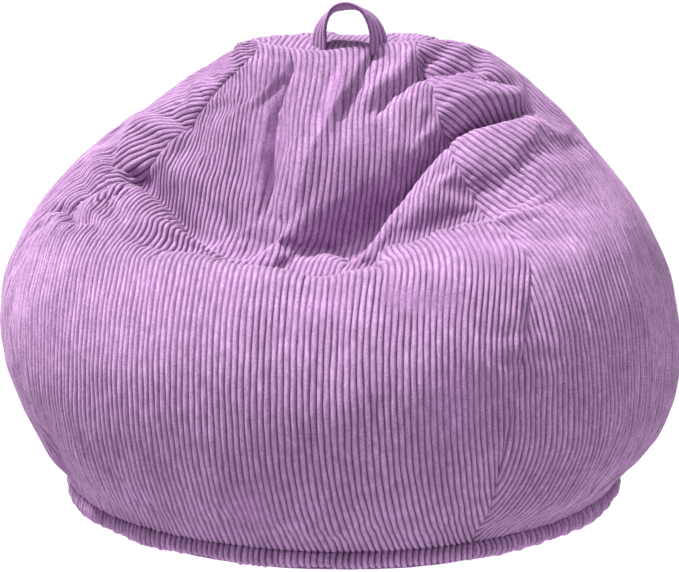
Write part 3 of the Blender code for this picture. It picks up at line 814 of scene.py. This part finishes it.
def foam_beads(name):
    """White expanded foam beads, with painted shade between them."""
    material, tree, shader, place = new_material(name)
    cells = tree.nodes.new("ShaderNodeTexVoronoi")
    cells.inputs["Scale"].default_value = 260.0
    link(tree, place, cells.inputs["Vector"])
    height = cells.outputs["Distance"]
    # grey towards each cell's edge: painted shade in the gaps between the beads
    colour = ramp(tree, height, [(0.0, (0.95, 0.95, 0.94)), (0.8, 0.7)])
    link(tree, colour, shader.inputs["Base Color"])
    shader.inputs["Roughness"].default_value = 0.7
    bump(tree, shader, height, 1.0, 0.001).invert = True
    return material


# -------- cover
CORD = corduroy("cover_corduroy")
# the zip slot's ends, in degrees on the back's arc, how quickly it closes there, and half its width
ZIP_LOW = -33.0
ZIP_HIGH = 34.0
SLOT_EASE = 3.0
SLOT_HALF = 0.0036


def dress(item, cad):
    """Let a piece ride on the cover in a CAD node's place, and hide that node."""
    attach(item, "cover")
    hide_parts(cad)


def zip_edge(side):
    """Azimuth of a back panel's zip edge, and how far the slot is open, row by row."""
    back = along(BACK, U)
    angle = np.degrees(np.arctan2(back[:, 1] - ARC_Z, back[:, 0] - ARC_Y))
    opened = smoothstep(angle, ZIP_LOW - SLOT_EASE, ZIP_LOW)
    opened *= 1 - smoothstep(angle, ZIP_HIGH, ZIP_HIGH + SLOT_EASE)
    opened *= back[:, 0] > 0.3
    radius = np.maximum(back[:, 0], 0.02)
    return side * 180.0 - side * np.degrees(opened * SLOT_HALF / radius), opened


def build_cover():
    """The five gores of the cover."""
    front_right, front_left, back_right, back_left, front_grain, right_grain, left_grain = [
        along(levels, U)[:, 0] for levels in (FRONT_RIGHT_SEAM, FRONT_LEFT_SEAM, BACK_RIGHT_SEAM,
                                              BACK_LEFT_SEAM, FRONT_GRAIN, RIGHT_GRAIN, LEFT_GRAIN)]
    zip_right, opened = zip_edge(1)
    zip_left, _ = zip_edge(-1)
    front = gore("cover_front", front_left, front_right, front_grain)
    right = gore("cover_right_side", front_right, back_right, right_grain)
    left = gore("cover_left_side", back_left, front_left, left_grain)
    half_right = gore("cover_back_right", back_right, zip_right, 180.0, high_open=opened)
    half_left = gore("cover_back_left", zip_left, back_left, -180.0, low_open=opened)
    for item, cad in ((front, "front_panel"), (right, "right_side_panel"), (left, "left_side_panel"),
                      (half_right, "back_panel_right"), (half_left, "back_panel_left")):
        dress(item, cad)


# -------- base, liner, filling
def circle(columns):
    """Points of a level circle of radius 1."""
    angle = 2 * math.pi * np.arange(columns) / columns
    return np.stack([np.cos(angle), np.sin(angle), np.zeros(columns)], axis=-1)


def ring_surface(name, rings, material, cap_top=True):
    """Shape through rings of points, low to high, closed at the bottom and, with cap_top, at the top."""
    rings = np.array(rings)
    rows, columns = rings.shape[:2]
    points = [rings.reshape(-1, 3), rings[:1].mean(axis=1)]
    faces = side_faces(rows, columns)
    faces += [[rows * columns, (c + 1) % columns, c] for c in range(columns)]
    if cap_top:
        points.append(rings[-1:].mean(axis=1))
        start = (rows - 1) * columns
        faces += [[rows * columns + 1, start + c, start + (c + 1) % columns] for c in range(columns)]
    return new_object(name, np.concatenate(points), faces, material)


# rings of the base cloth: radius, height, and how wavy it is there
BASE_RINGS = [(0.2, 0.0, 0), (0.308, 0.0, 0), (0.3165, 0.0006, 1), (0.319, 0.003, 1),
              (0.3185, 0.0058, 1), (0.315, 0.0078, 1), (0.31, 0.0062, 0.5), (0.2, 0.003, 0)]


def build_base():
    """Round base cloth with a slightly wavy rim."""
    around = circle(360)
    wavy = 0.001 * waves(around * 0.33, 0.1, 7, 15) + 0.0006 * waves(around * 0.33, 0.03, 7, 16)
    rings = []
    for radius, z, share in BASE_RINGS:
        ring = around * (radius + share * wavy)[:, None]
        ring[:, 2] = z
        rings.append(ring)
    cloth = woven("base_cloth", (0.13, 0.055, 0.16), (0.26, 0.13, 0.3))
    dress(ring_surface("base_cloth", rings, cloth), "base_panel")


LINER_DEPTH = 0.013
FILLING_DEPTH = 0.019
INNER_COLUMNS = 180
# the inner shapes' foot: how far its lowest row is turned in, and its height
FOOT_SHARE = 0.955
FOOT_HEIGHT = 0.0062


def inner(depth):
    """Coarse grid of the body's inside at a depth under the deepest cover nearby, with its foot turned in."""
    outwards = np.einsum("rci,rci->rc", MASTER - BASE, BASE_NORMALS)
    lowest = pooled(outwards, BODY_ROWS // 40, COLUMNS // 160, np.min)
    shape = BASE + BASE_NORMALS * (lowest - depth)[..., None]
    shape = shape[HEM_ROWS::3, ::COLUMNS // INNER_COLUMNS]
    foot = shape[0] * FOOT_SHARE
    foot[:, 2] = FOOT_HEIGHT
    return np.concatenate([foot[None], shape])


def build_inside():
    """Three-piece liner with the bead filling in it."""
    lining = woven("liner_cloth", (0.55, 0.55, 0.54), (0.8, 0.8, 0.79))
    sheet = inner(LINER_DEPTH)
    columns = sheet.shape[1]
    half = columns // 2
    for name, cad, start in (("liner_front_cloth", "liner_front", columns // 4),
                             ("liner_back_cloth", "liner_back", 3 * columns // 4)):
        part = np.take(sheet, (np.arange(half + 1) + start) % columns, axis=1)
        item = new_object(name, part, side_faces(*part.shape[:2], closed=False), lining)
        dress(item, cad)
    up = np.array([0.0, 0.0, 1.0])
    rings = [circle(120) * r + up * z for r, z in ((0.3, 0.0036), (0.308, 0.0042), (0.3, 0.0048))]
    dress(ring_surface("liner_base_cloth", rings, lining), "liner_base")
    beads = inner(FILLING_DEPTH)
    beads[0, :, 2] = 0.007
    filling = ring_surface("foam_beads", beads, foam_beads("foam_beads"), cap_top=False)
    dress(filling, "bead_filling")


# -------- zip
def tube(points, radius, sides=6):
    """Vertices and faces of a round tube with closed ends along points."""
    points = np.array(points)
    tangent = unit(np.gradient(points, axis=0))
    reference = np.where(np.abs(tangent[:, :1]) < 0.9, [[1.0, 0.0, 0.0]], [[0.0, 0.0, 1.0]])
    first = unit(np.cross(tangent, reference))
    second = np.cross(tangent, first)
    turn = 2 * math.pi * np.arange(sides) / sides
    ring = (points[:, None] + radius * (np.cos(turn)[None, :, None] * first[:, None]
                                        + np.sin(turn)[None, :, None] * second[:, None]))
    return ring.reshape(-1, 3), side_faces(len(points), sides) + end_faces(len(points), sides)


def on_zip(x, angle, offset):
    """Point beside the zip's middle line: metres across, degrees along, metres outwards."""
    y, z = on_arc(angle, offset)
    return (x, y, z)


def joined(parts):
    """Vertices and faces of several meshes as one."""
    points = []
    faces = []
    start = 0
    for p, f in parts:
        points.append(p)
        faces += [[v + start for v in face] for face in f]
        start += len(p)
    return np.concatenate(points), faces


# section of a tape: (metres from the zip's middle line, metres outwards)
TAPE_OUTLINE = [(0.0006, -0.0049), (0.0006, -0.0043), (0.0016, -0.0041), (0.011, -0.0043), (0.0122, -0.004),
                (0.013, -0.0044), (0.013, -0.0049), (0.0116, -0.0051)]
COIL_X = 0.00105
COIL_OFFSET = -0.00255
COIL_RADIUS = 0.00078
COIL_WIRE = 0.00026
COIL_PITCH_DEG = 0.34
# degrees that the tapes reach past the slot's ends, and that the coils stop short of its low and high end
TAPE_PAST = 1.5
COIL_SHORT = (0.8, 1.0)
STITCH_X = 0.0106
STITCH_OFFSET = 0.0032
STITCH_DEG = 0.78
STITCH_GAP_DEG = 0.3
STITCH_THREAD = 0.00045


def zip_tape(side, material):
    """Woven tape on one side of the zip."""
    angles = np.linspace(ZIP_LOW - TAPE_PAST, ZIP_HIGH + TAPE_PAST, 90)
    rings = np.array([[on_zip(side * x, a, o) for x, o in TAPE_OUTLINE] for a in angles])
    rows, columns = rings.shape[:2]
    faces = side_faces(rows, columns) + end_faces(rows, columns)
    return rings, faces, material


def zip_coil(side, material):
    """Coil teeth on one side of the zip, half a turn behind the other side's."""
    turns = int((ZIP_HIGH - ZIP_LOW - sum(COIL_SHORT)) / COIL_PITCH_DEG)
    t = np.arange(turns * 8 + 1) / 8
    angle = ZIP_LOW + COIL_SHORT[0] + t * COIL_PITCH_DEG
    phase = 2 * math.pi * t + (math.pi if side > 0 else 0.0)
    route = [on_zip(side * COIL_X + COIL_RADIUS * math.cos(p), a, COIL_OFFSET + COIL_RADIUS * math.sin(p))
             for a, p in zip(angle, phase)]
    return *tube(route, COIL_WIRE, 5), material


def topstitching(side, material):
    """Row of stitches that holds one tape to the cover."""
    stitches = []
    start = ZIP_LOW - 2.0
    rise = (-0.0008, 0.0001, 0.0004, 0.0004, 0.0001, -0.0008)
    while start < ZIP_HIGH + TAPE_PAST:
        angles = start + STITCH_DEG * np.array([0.0, 0.08, 0.3, 0.7, 0.92, 1.0])
        route = [on_zip(side * STITCH_X, a, STITCH_OFFSET + r) for a, r in zip(angles, rise)]
        stitches.append(tube(route, STITCH_THREAD))
        start += STITCH_DEG + STITCH_GAP_DEG
    return *joined(stitches), material


def build_zip():
    """Tapes, coil teeth and topstitching on both sides of the zip."""
    tape_cloth = woven("zip_tape", (0.16, 0.065, 0.2), (0.34, 0.17, 0.38), 900.0)
    nylon = woven("zip_coil", (0.22, 0.1, 0.26), (0.36, 0.19, 0.4), 1400.0)
    thread = woven("thread", (0.34, 0.18, 0.38), (0.52, 0.32, 0.56), 1600.0)
    for name, side in (("left", -1), ("right", 1)):
        tape = new_object("tape_" + name, *zip_tape(side, tape_cloth), smooth=False)
        coil = new_object("coil_" + name, *zip_coil(side, nylon))
        stitch = new_object("topstitch_" + name, *topstitching(side, thread))
        for item in (tape, coil, stitch):
            face_outwards(item)
        dress(tape, "zip_tape_" + name)
        dress(coil, "zip_coil_" + name)
        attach(stitch, "cover")


# -------- carry handle
HANDLE_MIDDLE = 0.0065
HANDLE_Y = 0.003
# middle line of the strap: (metres from the handle's middle, height)
HANDLE_ROUTE = [(-0.0365, 0.527), (-0.0362, 0.54), (-0.034, 0.553), (-0.0275, 0.5665), (-0.0165, 0.577),
                (0.0000, 0.5815), (0.0165, 0.577), (0.0275, 0.5665), (0.034, 0.553), (0.0362, 0.54),
                (0.0365, 0.527)]
# degrees that the strap's flat has turned about its length, at shares of its way from the left
HANDLE_TURN = [(0.0, 30), (0.16, 40), (0.32, 74), (0.44, 106), (0.57, 104), (0.72, 78), (0.88, 58), (1.0, 54)]
HANDLE_WIDTH = 0.0275
HANDLE_THICK = 0.0042
HANDLE_GROOVE = 0.001
HANDLE_RELIEF = 0.0015
HANDLE_WALES = 4


def strap_section():
    """Closed section of the folded strap, with wales on both faces: (across, outwards, cord)."""
    steps = 10 * HANDLE_WALES
    across = np.linspace(-0.5, 0.5, steps + 1)
    ridge = np.abs(np.sin(math.pi * HANDLE_WALES * (across + 0.5))) ** 0.7
    rounding = np.sqrt(np.clip(1 - (np.abs(across) * 2) ** 6, 0, 1))
    out = (HANDLE_THICK / 2 - HANDLE_GROOVE) * rounding + HANDLE_RELIEF * ridge * rounding
    # the third value picks the painted shade between the wales, which also darkens the strap's rounded edges
    upper = np.stack([across * HANDLE_WIDTH, out, ridge * rounding], axis=-1)
    lower = (upper * (1, -1, 1))[::-1]
    return np.concatenate([upper, lower[1:-1]])


def build_handle():
    """Corduroy strap that stands up in a loop and turns about its own length."""
    route = smooth_line([(x + HANDLE_MIDDLE, HANDLE_Y, z) for x, z in HANDLE_ROUTE])
    tangent = unit(np.gradient(route, axis=0))
    section = strap_section()
    count = len(section)
    turn = smooth_line(HANDLE_TURN, steps=10)
    points = []
    cord = []
    flat = []
    for i, centre in enumerate(route):
        facing = math.radians(np.interp(i / (len(route) - 1), turn[:, 0], turn[:, 1]))
        side = np.cross(tangent[i], (0.0, -1.0, 0.0))
        flat_way = unit(np.array([0.0, 1.0, 0.0]) * math.sin(facing) - side * math.cos(facing))
        out_way = unit(np.cross(flat_way, tangent[i]))
        fuzz = 0.00025 * np.sin(i * 1.9 + np.arange(count) * 0.7)
        points.append(centre + section[:, :1] * flat_way + (section[:, 1:2] + fuzz[:, None]) * out_way)
        cord.append(section[:, 2])
        flat.append(np.stack([section[:, 0], np.full(count, i * 0.0022)], axis=-1))
    faces = side_faces(len(points), count) + end_faces(len(points), count)
    item = new_object("handle_strap", np.concatenate(points), faces, CORD,
                      cord=np.concatenate(cord), lay=np.concatenate(flat))
    face_outwards(item)
    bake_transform(item)
    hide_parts("carry_handle")


# -------- stage, light, camera
CAMERA_AZIMUTH = 17.0
CAMERA_ELEVATION = 13.0
CAMERA_DISTANCE = 3.0
CAMERA_LENS = 133.0
CAMERA_TARGET = (-0.0036, -0.0011, 0.2464)
FLOOR_HALF = 30.0
WORLD_STRENGTH = 0.16
WORLD_COLOUR = (1.0, 0.8, 1.08)


def sun_light(name, towards, strength, softness, colour=(1.0, 1.0, 1.0)):
    """Soft distant light; towards points from the chair to the light, softness is its width in degrees."""
    data = bpy.data.lights.new(name, "SUN")
    data.energy = strength
    data.angle = math.radians(softness)
    data.color = colour
    item = bpy.data.objects.new(name, data)
    item.rotation_euler = Vector(towards).to_track_quat("Z", "Y").to_euler()
    bpy.context.scene.collection.objects.link(item)


def aim_lights():
    """Key and upper fill light the chair alone, and the floor has its own light, so that it stays plain."""
    chair = bpy.data.collections.new("lit_chair")
    stage = bpy.data.collections.new("lit_floor")
    for item in bpy.context.scene.objects:
        if item.type == "MESH":
            (stage if item.name == "floor" else chair).objects.link(item)
    for name in ("key", "top_fill"):
        bpy.data.objects[name].light_linking.receiver_collection = chair
    floor_linking = bpy.data.objects["floor_light"].light_linking
    floor_linking.receiver_collection = stage
    floor_linking.blocker_collection = stage


def build_floor():
    """Plain pale floor."""
    material, _, shader, _ = new_material("pale_floor")
    set_inputs(shader, {"Base Color": (0.93, 0.93, 0.93, 1.0), "Roughness": 0.9, "Specular IOR Level": 0.1})
    corners = [(x * FLOOR_HALF, y * FLOOR_HALF, 0) for x, y in ((-1, -1), (1, -1), (1, 1), (-1, 1))]
    new_object("floor", corners, [(0, 1, 2, 3)], material, smooth=False)


def build_lights():
    """Soft studio light from above and from the chair's far left."""
    world = bpy.data.worlds.new("studio")
    bpy.context.scene.world = world
    world.use_nodes = True
    set_inputs(world.node_tree.nodes["Background"],
               {"Color": (*WORLD_COLOUR, 1.0), "Strength": WORLD_STRENGTH})
    sun_light("key", (-1.0, -0.18, 1.8), 5.35, 6.0, (1.0, 0.995, 0.975))
    sun_light("top_fill", (0.08, -0.26, 1.0), 1.85, 60.0)
    sun_light("floor_light", (0.0, 0.0, 1.0), 3.3, 40.0)


def build_camera():
    """Camera at the photograph's viewing angle."""
    camera = bpy.data.objects.new("camera", bpy.data.cameras.new("camera"))
    bpy.context.scene.collection.objects.link(camera)
    a = math.radians(CAMERA_AZIMUTH)
    e = math.radians(CAMERA_ELEVATION)
    back = Vector((math.sin(a) * math.cos(e), -math.cos(a) * math.cos(e), math.sin(e)))
    camera.location = Vector(CAMERA_TARGET) + back * CAMERA_DISTANCE
    camera.rotation_euler = (-back).to_track_quat("-Z", "Y").to_euler()
    camera.data.lens = CAMERA_LENS
    camera.data.sensor_width = 36.0
    bpy.context.scene.camera = camera
    bpy.context.scene.view_settings.view_transform = "Standard"


def plate_metal_parts():
    """Plated metal on the CAD nodes of the zip that stay."""
    for name in ("zip_slider", "zip_pull_tab", "zip_top_stop", "zip_bottom_stop"):
        materials = frame["nodes"][name].data.materials
        materials.clear()
        materials.append(plated(name + "_metal"))


build_floor()
build_lights()
build_camera()
build_cover()
build_base()
build_inside()
build_handle()
build_zip()
plate_metal_parts()
aim_lights()
